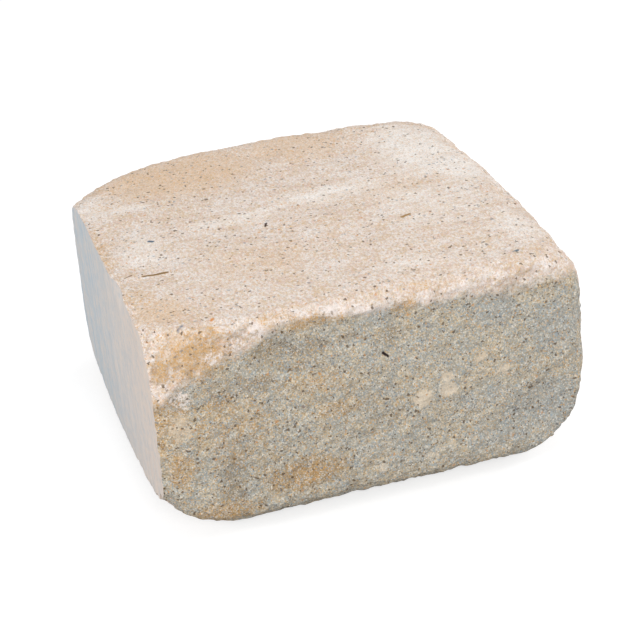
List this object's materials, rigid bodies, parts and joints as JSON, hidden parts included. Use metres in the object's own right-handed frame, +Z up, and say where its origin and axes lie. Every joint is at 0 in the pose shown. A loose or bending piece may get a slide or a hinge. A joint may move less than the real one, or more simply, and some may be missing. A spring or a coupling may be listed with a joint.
{
  "type": "concrete wall block",
  "caption": "Square concrete garden wall block, half as high as it is wide, with a rough split front face, a smooth flat-cut left side and tumbled, worn edges.",
  "frame": {"origin": "middle of the underside, at the centre of the overall width and depth", "axes": "+X along the split front towards the right, +Y from the split front to the back, +Z up"},
  "size_m": [0.298, 0.3039, 0.15],
  "materials": {
    "concrete": "sandy dry-cast concrete in pale beige and grey with ochre tints, a coarse split front face, a fine streaked top and a smooth grey cut left side"
  },
  "bodies": {
    "root": {"wall_block": "concrete"}
  },
  "joints": []
}
